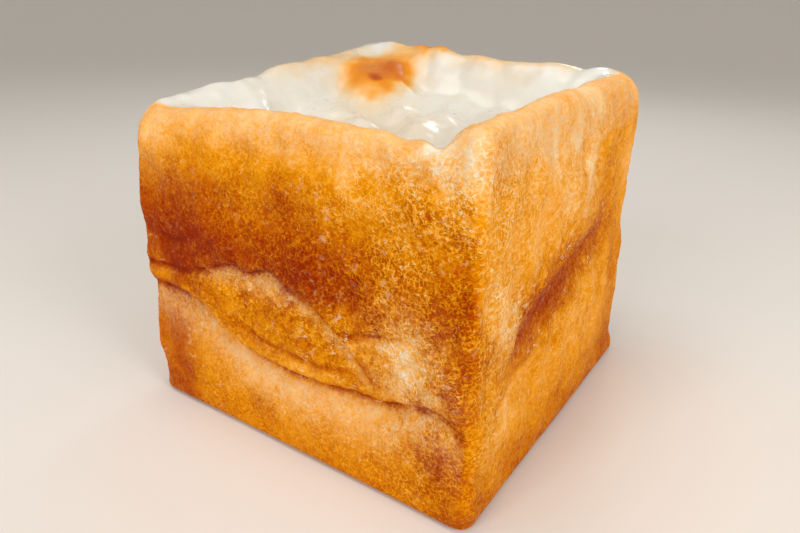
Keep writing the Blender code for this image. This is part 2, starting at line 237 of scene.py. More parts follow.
# Where it is covered by a chalky bloom, given in the same way
CHALKY = {
    "front": ((41, 47, 6, 6, 0.5), (43, 36.5, 7, 4, 0.6), (-6, 50, 5, 2.6, 0.5), (-21, 49, 5, 2.5, 0.3),
              (44.5, 94, 3.8, 3.4, 0.6), (-54, 90, 9, 8, 0.6), (-38, 43, 13, 3.5, -0.45)),
    "right": ((-44, 51, 4, 5, 0.4), (-37, 48, 3, 4, 0.3), (-5, 88, 3, 6, 0.5), (8, 77, 3, 8, 0.7),
              (-23, 91, 3, 5, 0.7)),
    "back": ((-20, 56, 14, 4, 0.4),),
    "left": ((10, 42, 14, 4, 0.4), (54, 90, 9, 8, 0.6)),
}

# How brown the pale top is, and how sharply its spots end
TOP_BROWNING = 0.05
SPOT_EDGE = 1.8

# Brown and white spots on the pale top, in mm: x, y, reach in x, reach in y, how brown
TOP_SPOTS = (
    (-31.5, 28.5, 12.0, 13.5, 0.46),
    (-26.5, 34.5, 5.5, 8.0, 0.17),
    (-28.0, 23.0, 2.2, 2.6, 0.30),
    (-25.0, 15.0, 11.0, 9.0, 0.05),
    (-6.0, 0.0, 24.0, 24.0, 0.035),
    (-32.0, 48.0, 14.0, 8.0, 0.17),
    (-54.0, 20.0, 9.0, 27.0, 0.16),
    (12.0, 55.0, 42.0, 8.0, 0.20),
    (-22.0, 53.0, 8.0, 5.5, 0.26),
    (-42.0, 48.0, 6.0, 4.5, -0.14),
    (33.0, 43.0, 12.0, 5.0, -0.05),
    (-42.0, -36.0, 12.0, 16.0, -0.03),
    (44.0, 48.0, 4.0, 5.0, -0.10),
    (54.0, 54.0, 6.0, 6.0, 0.10),
)

# How far in from the rim's crest the pale top starts, in mm, by the corner passed, and over
# how many mm the crust gives way to it
TOP_STARTS = ((0.0, -6.0), (0.12, 0.6), (1.0, 0.6), (1.85, 0.6), (2.05, -5.0), (2.4, -7.0), (3.0, -8.0),
              (3.4, -8.0), (4.0, -6.0))
TOP_BLENDS = 3.0

# How rounded a crease's bottom is, in mm, unless its fold says more
CREASE_ROUNDING = 0.3

# How chalky the crust looks under a fold that is this pale or paler, and on the rim, whose
# bloom comes on between these heights in mm
PALEST_FOLD = 0.3
CHALKY_FOLD = 1.4
CHALKY_RIM = 0.7
CHALKY_ABOVE = (84, 94)

BASE_BROWNING = 0.60

# Waves that keep the colours from being even: how much, over what length, and the seed
CRUST_RAGGED = ((1.6, 17 * MM, 21), (0.9, 6 * MM, 22))
FOLDS_UNEVEN = (0.08, 9 * MM, 23)
CREASE_SHADE_BROKEN = (0.30, 8 * MM, 24)
SPOTS_RAGGED = ((0.5, 9 * MM, 31), (0.3, 4 * MM, 32))
TOP_EDGE_RAGGED = (0.5, 8 * MM, 41)
BASE_UNEVEN = (0.04, 20 * MM, 51)

# How much of the painted shade in a crease shows on average, and its least and most
CREASE_SHADE_SHOWS = 0.85
CREASE_SHADE_RANGE = (0.2, 1.1)

# The pale band under a crease comes on between these heights above the crease, in mm
BAND_STARTS = (-0.2, -2.4)

# Cells of the fine grid, and how many of them a coarse cell of the base replaces
CELLS_ACROSS = 150
CELLS_UP = 122
BASE_BLOCK = 10

# The cube's base lies below this, before it is shaped
BASE_LEVEL = -0.999


def ease(low, high, value):
    """0 below low and 1 above high, smooth in between."""
    t = np.clip((value - low) / (high - low), 0, 1)
    return t * t * (3 - 2 * t)


def curve_through(places, values, at):
    """The smooth curve through these values, read at the places asked for."""
    tangents = np.gradient(values, places)
    i = np.clip(np.searchsorted(places, at) - 1, 0, len(places) - 2)
    width = places[i + 1] - places[i]
    t = np.clip((at - places[i]) / width, 0, 1)
    return (
        values[i] * (2 * t**3 - 3 * t**2 + 1)
        + values[i + 1] * (3 * t**2 - 2 * t**3)
        + tangents[i] * width * (t**3 - 2 * t**2 + t)
        + tangents[i + 1] * width * (t**3 - t**2)
    )


def waves(points, height, length, seed, count=14):
    """A random swell of about this height and wavelength, the same each run."""
    random = np.random.default_rng(seed)
    directions = random.normal(size=(count, 3))
    directions /= np.linalg.norm(directions, axis=1)[:, None]
    pitches = 2 * np.pi / (length * random.uniform(0.7, 1.4, count))
    phases = random.uniform(0, 2 * np.pi, count)
    total = np.sin(points @ (directions * pitches[:, None]).T + phases).sum(axis=1)
    return height * total * np.sqrt(2 / count)


def round_the_loaf(x, y):
    """Where a point lies round the loaf, counted in corners from the front left one."""
    across = np.maximum(np.maximum(np.abs(x), np.abs(y)), 1e-9)
    on_y_side = np.abs(y) >= np.abs(x)
    front_or_back = np.where(y < 0, 0.5 + 0.5 * x / across, 2.5 - 0.5 * x / across)
    right_or_left = np.where(x > 0, 1.5 + 0.5 * y / across, 3.5 - 0.5 * y / across)
    return np.where(on_y_side, front_or_back, right_or_left)


def rim_height(x, y):
    """Height of the rim's crest in this direction from the middle."""
    places, heights = np.array(RIM_CREST).T
    places = np.concatenate([places[-3:] - SIDES_ROUND, places, places[:3] + SIDES_ROUND])
    heights = np.concatenate([heights[-3:], heights, heights[:3]]) * MM
    return curve_through(places, heights, round_the_loaf(x, y))


def by_corner(values, x, y):
    """One of four values in mm, by the nearest corner, shading into the next along a side."""
    return np.interp(round_the_loaf(x, y), range(SIDES_ROUND + 1), values + values[:1]) * MM


def edge_radius(x, y, z):
    """How round the nearest upright edge is at this height."""
    worn_at_foot = by_corner(WORN_AT_FOOT, x, y) * (1 - ease(*FOOT_WEAR, z / HEIGHT))
    worn_at_rim = by_corner(WORN_AT_RIM, x, y) * ease(*RIM_WEAR, z / HEIGHT)
    return by_corner(EDGE_RADIUS, x, y) + worn_at_foot + worn_at_rim


def rounded_box(cube):
    """Places a cube's points on the tin's rounded box, with the way out at each."""
    half = np.array([SIDE / 2, SIDE / 2, HEIGHT / 2])
    middle = np.array([0, 0, HEIGHT / 2])
    box = cube * half
    around = edge_radius(*(box + middle).T)
    rim_rounding = by_corner(RIM_ROUNDING, box[:, 0], box[:, 1])
    upright = np.where(cube[:, 2] < 0, FOOT_ROUNDING, rim_rounding)
    radii = np.stack([around, around, upright], axis=1)
    core = np.clip(box, radii - half, half - radii)
    outward = (box - core) / radii
    outward /= np.linalg.norm(outward, axis=1)[:, None]
    return core + outward * radii + middle, outward


def fold(along, height, shape):
    """How far one fold moves the crust out and up, at places on a side."""
    places, heights, depths = np.array(shape["line"]).T * MM
    crease = curve_through(places, heights, along)
    depth = np.interp(along, places, depths, left=0, right=0)
    lip, slope, droop = shape["lip"] * MM, shape["slope"] * MM, shape["droop"] * MM
    soft = shape.get("soft", CREASE_ROUNDING) * MM
    away = np.sqrt((height - crease) ** 2 + soft**2) - soft
    above = np.maximum(height - crease, 0)
    inward = np.where(height > crease, np.clip(1 - away / lip, 0, 1) ** 3, np.exp(-away / slope))
    hang = above / lip * np.exp(1 - above / lip)
    deepest = np.max(depths)
    return -depth * inward, -droop * hang * depth / deepest


def side_relief(points, outward):
    """How far the folds and swells of the side crusts move each point out and up."""
    x, y, height = points.T
    out = waves(points, *SWELL) + waves(points, *PUCKER) - TOP_LEAN * height / HEIGHT
    mid_side = 1 - ease(*PULL_FADES, np.minimum(np.abs(x), np.abs(y)) / (SIDE / 2))
    out -= RIM_PULL * mid_side * ease(*PULLED_IN, height / HEIGHT)
    up = np.zeros(len(points))
    for side, (normal, rightward) in SIDES.items():
        share = np.clip(outward[:, :2] @ np.array(normal), 0, 1) ** 2
        along = points[:, :2] @ np.array(rightward)
        for place, level, reach, reach_up, rise in BULGES[side]:
            far = ((along / MM - place) / reach) ** 2 + ((height / MM - level) / reach_up) ** 2
            out += share * rise * MM * np.exp(-far / 2)
        for shape in FOLDS[side]:
            fold_out, fold_up = fold(along, height, shape)
            out += share * fold_out
            up += share * fold_up
    beside = np.linalg.norm(outward[:, :2], axis=1) ** 2
    return out * beside * ease(*FLAT_FOOT, height / HEIGHT), up * beside


def from_the_wall(points):
    """How far inside the rim's crest a point of the top lies."""
    x, y, z = points.T
    inset = SIDE / 2 - edge_radius(x, y, z)
    from_x_wall = inset - np.abs(x)
    from_y_wall = inset - np.abs(y)
    nearest = np.minimum(from_x_wall, from_y_wall)
    overlap = np.clip(1 - np.abs(from_x_wall - from_y_wall) / INNER_CORNER, 0, 1)
    return np.maximum(nearest - overlap**2 * INNER_CORNER / 4, 0)


def sunken_top(points, crest):
    """Height of the pale top: the rim's crest, then a wall down to an uneven floor."""
    x, y, z = points.T
    mound_x, mound_y, mound_height, mound_spread = MOUND
    from_mound = (x - mound_x) ** 2 + (y - mound_y) ** 2
    floor = (
        FLOOR_HEIGHT
        + FLOOR_DISH * (x**2 + y**2) / (SIDE / 2) ** 2
        + FLOOR_TILT * (y - x)
        + mound_height * np.exp(-from_mound / (2 * mound_spread**2))
        + waves(points, *FLOOR_RIPPLE)
    )
    return crest + (floor - crest) * ease(0, WALL_RUN, from_the_wall(points))


def patch(along, height, place, level, reach, reach_up):
    """A soft spot: 1 at its middle, fading out over its reach, all in mm."""
    return np.exp(-(((along - place) / reach) ** 2 + ((height - level) / reach_up) ** 2) / 2)


def fold_colours(along, height, shape, uneven, broken):
    """How much lighter and how much darker a fold makes the crust, a painted highlight on its lip where brown
    is below 0, the painted shade in its crease, and its bloom.
    """
    places, heights, depths = np.array(shape["line"]).T
    above = height - curve_through(places, heights, along)
    strength = np.interp(along, places, depths / depths.max(), left=0, right=0) ** 0.5
    paler, stays, fades = shape["pale"]
    browner, offset, reach = shape["brown"]
    dark, wide = shape["dark"]
    band = ease(*BAND_STARTS, above) * np.exp(-((np.maximum(-above - stays, 0) / fades) ** 2))
    lighter = strength * paler * uneven * band
    # A negative browner makes a light line along the lip: a painted highlight
    darker = strength * browner * uneven * np.exp(-(((above - offset) / reach) ** 2))
    # The crease line is painted shade along the crease
    line = np.exp(-((above / wide) ** 2)) * strength * dark * broken
    bloom = CHALKY_FOLD * strength * min(paler / PALEST_FOLD, 1) ** 2 * band
    return lighter, darker, line, bloom


def side_colours(points, facing):
    """What the colours of the side crusts follow, at each point, by name; crease is the painted shade along
    the creases.
    """
    ragged = sum(waves(points, *swell) for swell in CRUST_RAGGED)
    uneven = 1 + waves(points, *FOLDS_UNEVEN)
    broken = np.clip(CREASE_SHADE_SHOWS + waves(points, *CREASE_SHADE_BROKEN), *CREASE_SHADE_RANGE)
    masks = {name: np.zeros(len(points)) for name in ("browning", "crease", "wrinkled", "crazed", "chalky")}
    weight = np.full(len(points), 1e-6)
    height = points[:, 2] / MM
    for side, (normal, rightward) in SIDES.items():
        share = np.clip(facing @ np.array(normal), 0, 1) ** 2
        along = points[:, :2] @ np.array(rightward) / MM
        levels, tones = np.array(BROWNING[side]).T
        tone = curve_through(levels, tones, height + ragged)
        for place, level, reach, reach_up, darker in PATCHES[side]:
            tone += darker * patch(along + ragged, height - ragged, place, level, reach, reach_up)
        for name, places in (("wrinkled", WRINKLED), ("crazed", CRAZED), ("chalky", CHALKY)):
            for place, level, reach, reach_up, much in places[side]:
                masks[name] += share * much * patch(along, height, place, level, reach, reach_up)
        for shape in FOLDS[side]:
            lighter, darker, line, bloom = fold_colours(along, height, shape, uneven, broken)
            tone += darker - lighter
            # The crease mask carries the painted shade along each crease
            masks["crease"] = np.maximum(masks["crease"], share * line)
            masks["chalky"] += share * bloom
        masks["browning"] += share * tone
        weight += share
    masks["browning"] /= weight
    masks["chalky"] += CHALKY_RIM * ease(*CHALKY_ABOVE, height)
    return {name: np.clip(values, 0, 1) for name, values in masks.items()}


def top_colours(points):
    """How brown the pale top is at each point."""
    x, y = points[:, 0] / MM, points[:, 1] / MM
    ragged = sum(waves(points, *swell) for swell in SPOTS_RAGGED)
    brown = np.full(len(points), TOP_BROWNING)
    for place_x, place_y, reach_x, reach_y, tone in TOP_SPOTS:
        far = ((x - place_x + ragged) / reach_x) ** 2 + ((y - place_y - ragged) / reach_y) ** 2
        brown += tone * np.exp(-far**SPOT_EDGE)
    return np.clip(brown, 0, 1)


def top_mask(points, outward):
    """1 on the pale top, 0 on the side crusts."""
    x, y, _ = points.T
    over_the_rim = by_corner(RIM_ROUNDING, x, y) * np.arccos(np.clip(outward[:, 2], -1, 1))
    inside = (from_the_wall(points) - over_the_rim) / MM + waves(points, *TOP_EDGE_RAGGED)
    places, starts = np.array(TOP_STARTS).T
    start = np.interp(round_the_loaf(x, y), places, starts)
    return ease(0, TOP_BLENDS, inside - start)


def form_loaf(cube):
    """The loaf's surface from a cube's points, with what its colours follow."""
    points, outward = rounded_box(cube)
    crest = rim_height(points[:, 0], points[:, 1]) + waves(points, *RIM_WOBBLE)
    on_top = outward[:, 2] > TOP_NORMAL
    top = sunken_top(points, crest)
    points[:, 2] *= crest / HEIGHT
    across = np.abs(points[:, :2]).max(axis=1)[:, None]
    from_middle = (points[:, :2] / np.maximum(across, 1e-9)) ** EDGE_SHARPNESS
    facing = np.where(on_top[:, None], from_middle, outward[:, :2])
    masks = side_colours(points, facing)
    base = outward[:, 2] < BASE_NORMAL
    pale_top = np.where(base, 0, top_mask(points, outward))
    out, up = side_relief(points, outward)
    points[:, 2] = np.where(on_top, top, np.maximum(points[:, 2] + up, 0))
    level = outward[:, :2] / np.maximum(np.linalg.norm(outward[:, :2], axis=1), 1e-9)[:, None]
    points[:, :2] += level * out[:, None]
    points[:, :2] -= (points.min(axis=0) + points.max(axis=0))[:2] / 2
    brown = masks["browning"] * (1 - pale_top) + top_colours(points) * pale_top
    masks["browning"] = np.where(base, BASE_BROWNING + waves(points, *BASE_UNEVEN), brown)
    masks["pale_top"] = pale_top
    return points, masks


def fine_cube():
    """A cube cut into a fine grid all over, except for its base."""
    form = bmesh.new()
    bmesh.ops.create_cube(form, size=2)
    for axis, cells in enumerate((CELLS_ACROSS, CELLS_ACROSS, CELLS_UP)):
        edges = [e for e in form.edges if abs(e.verts[0].co[axis] - e.verts[1].co[axis]) > 1]
        bmesh.ops.subdivide_edges(form, edges=edges, cuts=cells - 1, use_grid_fill=True)
    spare = []
    for edge in form.edges:
        start, end = (vertex.co for vertex in edge.verts)
        if max(start.z, end.z) > BASE_LEVEL:
            continue
        across = start.y if abs(start.y - end.y) < 1e-5 else start.x
        line = round((across + 1) / 2 * CELLS_ACROSS)
        if line % BASE_BLOCK:
            spare.append(edge)
    bmesh.ops.dissolve_edges(form, edges=spare, use_verts=True, use_face_split=False)
    return form


def add_object(name, data):
    """An object for this data, put in the scene."""
    made = bpy.data.objects.new(name, data)
    bpy.context.scene.collection.objects.link(made)
    return made


def make_loaf():
    form = fine_cube()
    cube = np.array([vertex.co for vertex in form.verts])
    mesh = bpy.data.meshes.new("rice_loaf")
    form.to_mesh(mesh)
    form.free()
    points, masks = form_loaf(cube)
    mesh.vertices.foreach_set("co", points.ravel())
    for name, values in masks.items():
        mesh.attributes.new(name, "FLOAT", "POINT").data.foreach_set("value", values)
    mesh.shade_smooth()
    return add_object("rice_loaf", mesh)


def srgb(code):
    """A colour written as six hex digits, as Blender's linear values."""
    parts = [int(code[i:i + 2], 16) / 255 for i in (0, 2, 4)]
    return (*[p / 12.92 if p <= 0.04045 else ((p + 0.055) / 1.055) ** 2.4 for p in parts], 1.0)


class Nodes:
    """Adds nodes to a tree. A value that is a socket is linked, any other is set."""

    def __init__(self, tree):
        self.tree = tree

    def add(self, kind, values=(), **settings):
        node = self.tree.nodes.new(kind)
        for name, setting in settings.items():
            setattr(node, name, setting)
        self.fill(node, dict(values))
        return node

    def put(self, socket, value):
        if isinstance(value, bpy.types.NodeSocket):
            self.tree.links.new(value, socket)
        elif value is not None:
            socket.default_value = value

    def fill(self, node, values):
        for socket, value in values.items():
            self.put(node.inputs[socket], value)

    def math(self, operation, a, b=0.0):
        return self.add("ShaderNodeMath", {0: a, 1: b}, operation=operation).outputs[0]

    def times(self, a, b):
        return self.math("MULTIPLY", a, b)

    def plus(self, a, b):
        return self.math("ADD", a, b)

    def minus(self, a, b):
        return self.math("SUBTRACT", a, b)

    def vector_math(self, operation, a, b):
        return self.add("ShaderNodeVectorMath", {0: a, 1: b}, operation=operation).outputs[0]

    def scaled(self, vector, scale):
        return self.add("ShaderNodeVectorMath", {0: vector, "Scale": scale}, operation="SCALE").outputs[0]

    def between(self, value, low, high, to_low=0.0, to_high=1.0):
        """value from low to high becomes to_low to to_high, smoothly, and stays within."""
        values = {"Value": value, "From Min": low, "From Max": high, "To Min": to_low, "To Max": to_high}
        return self.add("ShaderNodeMapRange", values, interpolation_type="SMOOTHSTEP").outputs["Result"]

    def stretched(self, vector, tilt, scale):
        """Coordinates that run along every side crust, tilted down to the right, and drawn out."""
        turned = self.add(
            "ShaderNodeVectorRotate", {"Vector": vector, "Rotation": (0, tilt, math.radians(45))},
            rotation_type="EULER_XYZ", invert=True)
        return self.vector_math("DIVIDE", turned.outputs[0], scale)

    def noise(self, vector, size, detail, roughness=0.5, warp=0.0):
        """Noise whose blotches are about size metres wide. The size can be a socket."""
        scale = self.math("DIVIDE", 1.0, size) if isinstance(size, bpy.types.NodeSocket) else 1 / size
        values = {
            "Vector": vector, "Scale": scale, "Detail": detail, "Roughness": roughness, "Distortion": warp}
        return self.add("ShaderNodeTexNoise", values).outputs[0]

    def uneven(self, vector, size, detail, roughness, warp=0.0):
        """The same noise, from -0.5 to 0.5."""
        return self.minus(self.noise(vector, size, detail, roughness, warp), 0.5)

    def mix(self, factor, a, b):
        """Colour b over colour a."""
        values = {"Factor": factor, 6: a, 7: b}
        return self.add("ShaderNodeMix", values, data_type="RGBA").outputs[2]

    def ramp(self, factor, stops):
        node = self.add("ShaderNodeValToRGB", {"Fac": factor})
        band = node.color_ramp
        while len(band.elements) < len(stops):
            band.elements.new(0.5)
        for element, (place, code) in zip(band.elements, stops):
            element.position = place
            element.color = srgb(code)
        return node.outputs["Color"]


def new_group(name, kind, inputs, outputs):
    """An empty node group with these named sockets, as a Nodes helper with its ends."""
    tree = bpy.data.node_groups.new(name, kind)
    for socket, (socket_type, value) in inputs.items():
        made = tree.interface.new_socket(socket, in_out="INPUT", socket_type=socket_type)
        if value is not None:
            made.default_value = value
    for socket, socket_type in outputs.items():
        tree.interface.new_socket(socket, in_out="OUTPUT", socket_type=socket_type)
    nodes = Nodes(tree)
    start = nodes.add("NodeGroupInput")
    end = nodes.add("NodeGroupOutput")
    return nodes, start.outputs, end.inputs


# Kinds of socket
FLOAT = "NodeSocketFloat"
VECTOR = "NodeSocketVector"
COLOUR = "NodeSocketColor"

# How far strokes and wrinkles run down to the right over a side crust, and how drawn out
# wrinkles, strokes and the painted glints are
STROKE_TILT = math.radians(-14)
WRINKLE_TILT = math.radians(-26)
DRAWN_OUT = (3.2, 1.0, 1.0)
GLINT_STRETCH = (1.8, 1.0, 1.0)

# Sizes of the patterns in the crust, from broad to fine
BLOTCH = 7 * MM
WRINKLE_WIDTH = 2.8 * MM
WIDE_CELL = 2.7 * MM
PIT_SPACING = 2.6 * MM
CLOT = 2.4 * MM
GLINT_SIZE = 1.9 * MM
FINE_CELL = 1.25 * MM
GRAIN = 0.9 * MM
STROKE = 0.8 * MM

# How far apart the places are where the web and the painted glints come and go
WEB_PATCH = 7 * MM
GLINT_PATCH = 8 * MM

# Size of the soft waves in the moist top
MOIST_WAVE = 5 * MM

# Sizes of the bends in the web's lines and of the gaps between its pieces, and how softly a
# line ends at a gap
WEB_BEND = 1.4 * MM
WEB_GAP = 1.1 * MM
GAP_EDGE = 0.12


def crumb_web_group():
    """A web of fine broken lines: the thin cell walls that show in a tin-baked crust."""
    nodes, given, put = new_group(
        "crumb_web", "ShaderNodeTree",
        {"Vector": (VECTOR, None), "Cell": (FLOAT, 1.3 * MM), "Line": (FLOAT, 0.14), "Broken": (FLOAT, 0.5)},
        {"Mask": FLOAT})
    scale = nodes.math("DIVIDE", 1.0, given["Cell"])
    bend = nodes.add("ShaderNodeTexNoise", {"Vector": given["Vector"], "Scale": 1 / WEB_BEND, "Detail": 2.0})
    shift = nodes.vector_math("SUBTRACT", bend.outputs["Color"], (0.5, 0.5, 0.5))
    bent = nodes.vector_math("ADD", given["Vector"], nodes.scaled(shift, WEB_BEND))
    cells = nodes.add("ShaderNodeTexVoronoi", {"Vector": bent, "Scale": scale}, feature="DISTANCE_TO_EDGE")
    lines = nodes.between(cells.outputs["Distance"], 0.0, given["Line"], 1.0, 0.0)
    gaps = nodes.noise(given["Vector"], WEB_GAP, 1.0)
    from_gap = nodes.minus(given["Broken"], GAP_EDGE)
    kept = nodes.between(gaps, from_gap, nodes.plus(given["Broken"], GAP_EDGE))
    nodes.put(put["Mask"], nodes.times(lines, kept))
    return nodes.tree


def pores_group():
    """Small round pits, scattered over some of the cells."""
    nodes, given, put = new_group(
        "pores", "ShaderNodeTree",
        {"Vector": (VECTOR, None), "Spacing": (FLOAT, 3 * MM), "Size": (FLOAT, 0.3), "Share": (FLOAT, 0.4)},
        {"Mask": FLOAT})
    scale = nodes.math("DIVIDE", 1.0, given["Spacing"])
    cells = nodes.add("ShaderNodeTexVoronoi", {"Vector": given["Vector"], "Scale": scale})
    pit = nodes.between(cells.outputs["Distance"], 0.0, given["Size"], 1.0, 0.0)
    pick = nodes.add("ShaderNodeSeparateColor", {"Color": cells.outputs["Color"]}).outputs[0]
    nodes.put(put["Mask"], nodes.times(pit, nodes.math("LESS_THAN", pick, given["Share"])))
    return nodes.tree


# The bread's colour by how brown it is
CRUST_TONES = (
    (0.00, "F6EEDF"), (0.08, "F9E2BE"), (0.16, "F9CE90"), (0.24, "F9BC68"), (0.32, "F5A948"),
    (0.40, "EE9C1C"), (0.48, "E28E06"), (0.56, "D67E00"), (0.64, "CA6E00"), (0.72, "BC5C00"),
    (0.80, "B04C00"), (0.88, "A63E00"), (0.96, "9C3200"), (1.00, "922800"))
TOP_TONES = (
    (0.00, "E4E1D8"), (0.05, "DCD6C9"), (0.10, "DCCCB2"), (0.18, "E0BC8A"), (0.28, "E4A650"),
    (0.38, "E08E18"), (0.50, "D27800"), (0.64, "C06000"), (0.80, "A84208"), (1.00, "8C2C08"))
CHALK = "DEBC94"
# Colour of the painted glints: small pale specks that stand in for the crust's shine
PAINTED_GLINT = "F8D8AC"

# How much each pattern changes how brown the crust looks. Wrinkle ridges come out lighter and their hollows
# darker, partly lighter crust and partly painted light and shade, and pits darker, painted shade
TONE = dict(clot=0.60, grain=0.40, blotch=0.44, wrinkle_tone_and_shade=0.8, line=0.34, stroke=0.20, pit=0.14)

# How much each one stands out, or goes in, in the finest relief
RISE = dict(clot=-0.9, grain=0.7, line=0.30, pit=0.5, moist=0.8)

# What the web and the strokes add over all, taken off again so that the crust stays as brown
MARKS_MEAN = 0.12

# How much the chalky bloom can cover, and how much the painted glints show on light and on dark crust
BLOOM_COVERS = 0.85
PAINTED_GLINTS_SHOW = (0.72, 0.2)


def bread_patterns(nodes, given, on_crust, web, pores):
    """The patterns in the bread's surface, by name. Each is a mask, or noise from -0.5 to 0.5."""
    vector = given["Vector"]

    def scattered(group, shift, **values):
        """One use of a group, moved so that its pattern falls elsewhere."""
        moved = nodes.vector_math("ADD", vector, shift)
        node = nodes.add("ShaderNodeGroup", node_tree=group)
        nodes.fill(node, {"Vector": moved, **values})
        return node.outputs[0]

    fine_web = scattered(web, (0, 0, 0), Cell=FINE_CELL, Line=0.24, Broken=0.46)
    wide_web = scattered(web, (0.02, 0.01, 0.03), Cell=WIDE_CELL, Line=0.13, Broken=0.50)
    lines = nodes.math("MAXIMUM", fine_web, wide_web)
    lines = nodes.times(lines, nodes.between(nodes.noise(vector, WEB_PATCH, 2.0), 0.30, 0.60, 0.35, 1.0))
    pits = nodes.times(scattered(pores, (0, 0, 0), Spacing=PIT_SPACING, Size=0.26, Share=0.40), on_crust)
    strokes = nodes.stretched(vector, STROKE_TILT, DRAWN_OUT)
    stroke = nodes.between(nodes.noise(strokes, STROKE, 2.0, 0.6), 0.56, 0.68)
    # Painted glints: small pale specks, more where the crust wrinkled, that stand in for its shine
    short = nodes.stretched(vector, STROKE_TILT, GLINT_STRETCH)
    painted_glints = nodes.between(nodes.noise(short, GLINT_SIZE, 3.0, 0.65), 0.57, 0.65)
    painted_glints = nodes.times(painted_glints, nodes.between(nodes.noise(vector, GLINT_PATCH, 2.0), 0.44, 0.60))
    painted_glints = nodes.times(painted_glints, nodes.plus(nodes.times(given["Wrinkled"], 0.8), 0.25))
    # Wrinkle pattern for the colour: ridges lighter and hollows darker, partly lighter crust and partly
    # painted light and shade
    wrinkles = nodes.stretched(vector, WRINKLE_TILT, DRAWN_OUT)
    wrinkle_tone_and_shade = nodes.times(nodes.uneven(wrinkles, WRINKLE_WIDTH, 3.0, 0.6, 0.6), given["Wrinkled"])
    return dict(
        line=lines, pit=pits, stroke=stroke, painted_glint=painted_glints, wrinkle_tone_and_shade=wrinkle_tone_and_shade,
        blotch=nodes.uneven(vector, BLOTCH, 3.0, 0.6),
        clot=nodes.uneven(vector, CLOT, 3.0, 0.65, 0.5),
        grain=nodes.uneven(vector, GRAIN, 2.0, 0.7),
        moist=nodes.uneven(vector, MOIST_WAVE, 0.0, 0.4))


def crust_colour(nodes, given, on_crust, strong, seen):
    """The crust's colour: how brown it is, with the web, the strokes and the bloom, painted shade in the
    creases and pits, painted light and shade on the wrinkles, and painted glints.
    """
    browning = given["Browning"]
    mottle = nodes.plus(nodes.times(seen["clot"], TONE["clot"]), nodes.times(seen["grain"], TONE["grain"]))
    mottle = nodes.plus(nodes.times(mottle, strong), nodes.times(seen["blotch"], TONE["blotch"]))
    # Wrinkle ridges lighter and hollows darker: partly painted light and shade
    mottle = nodes.minus(mottle, nodes.times(seen["wrinkle_tone_and_shade"], TONE["wrinkle_tone_and_shade"]))
    marks = nodes.plus(nodes.times(seen["line"], TONE["line"]), nodes.times(seen["stroke"], TONE["stroke"]))
    # Pits come out darker: painted shade in them
    marks = nodes.minus(marks, nodes.times(seen["pit"], TONE["pit"]))
    marks = nodes.times(nodes.minus(marks, MARKS_MEAN), strong)
    change = nodes.minus(mottle, marks)
    change = nodes.times(change, nodes.between(browning, 0.10, 0.55, 0.75, 1.0))
    # Crease adds the painted shade along the creases
    change = nodes.plus(change, given["Crease"])
    crust = nodes.ramp(nodes.plus(browning, nodes.times(change, on_crust)), CRUST_TONES)
    chalk = nodes.between(nodes.plus(seen["clot"], seen["grain"]), -0.25, 0.25, 0.9, 0.1)
    bloom = nodes.times(nodes.times(given["Chalky"], chalk), BLOOM_COVERS)
    crust = nodes.mix(bloom, crust, srgb(CHALK))
    # Painted glints over the crust, stronger on the lighter crust
    shown = nodes.between(browning, 0.60, 0.82, *PAINTED_GLINTS_SHOW)
    return nodes.mix(nodes.times(seen["painted_glint"], shown), crust, srgb(PAINTED_GLINT))


def top_colour(nodes, given, seen):
    """The moist top's colour: milky, and brown in its spots."""
    browning = given["Browning"]
    milky = nodes.plus(browning, nodes.times(seen["blotch"], 0.06))
    mottle = nodes.times(seen["clot"], nodes.between(browning, 0.10, 0.40, 0.01, 0.12))
    return nodes.ramp(nodes.plus(milky, mottle), TOP_TONES)


def bread_height(nodes, given, on_crust, strong, seen):
    """The finest relief: grain, web and pits on the crust, soft waves on the moist top."""
    height = nodes.times(seen["grain"], RISE["grain"])
    height = nodes.plus(height, nodes.times(nodes.plus(seen["line"], seen["stroke"]), RISE["line"]))
    height = nodes.plus(height, nodes.times(seen["clot"], RISE["clot"]))
    height = nodes.minus(height, nodes.times(seen["pit"], RISE["pit"]))
    height = nodes.times(height, nodes.times(nodes.plus(strong, 0.1), on_crust))
    height = nodes.times(height, nodes.between(given["Browning"], 0.15, 0.45, 0.60, 1.0))
    moist = nodes.times(nodes.times(seen["moist"], RISE["moist"]), given["Pale Top"])
    return nodes.plus(height, moist)


def baked_surface_group(web, pores):
    """The bread's colour, roughness, gloss and fine height, from how it baked, with painted shade and painted
    glints in the colour.
    """
    nodes, given, put = new_group(
        "baked_surface", "ShaderNodeTree",
        {"Vector": (VECTOR, None), "Browning": (FLOAT, 0.5), "Pale Top": (FLOAT, 0.0),
         "Crease": (FLOAT, 0.0), "Wrinkled": (FLOAT, 0.0), "Crazed": (FLOAT, 0.5), "Chalky": (FLOAT, 0.0)},
        {"Colour": COLOUR, "Roughness": FLOAT, "Coat": FLOAT, "Height": FLOAT})
    pale_top = given["Pale Top"]
    on_crust = nodes.minus(1.0, pale_top)
    strong = nodes.plus(nodes.times(nodes.times(given["Crazed"], on_crust), 0.75), 0.25)
    seen = bread_patterns(nodes, given, on_crust, web, pores)

    crust = crust_colour(nodes, given, on_crust, strong, seen)
    nodes.put(put["Colour"], nodes.mix(pale_top, crust, top_colour(nodes, given, seen)))

    rough = nodes.between(nodes.plus(seen["clot"], seen["grain"]), -0.3, 0.3, 0.40, 0.62)
    moist = nodes.between(seen["blotch"], -0.2, 0.2, 0.24, 0.42)
    nodes.put(put["Roughness"], nodes.plus(nodes.times(rough, on_crust), nodes.times(moist, pale_top)))
    wet = nodes.between(given["Browning"], 0.12, 0.35, 0.5, 0.1)
    nodes.put(put["Coat"], nodes.times(pale_top, wet))
    nodes.put(put["Height"], bread_height(nodes, given, on_crust, strong, seen))
    return nodes.tree


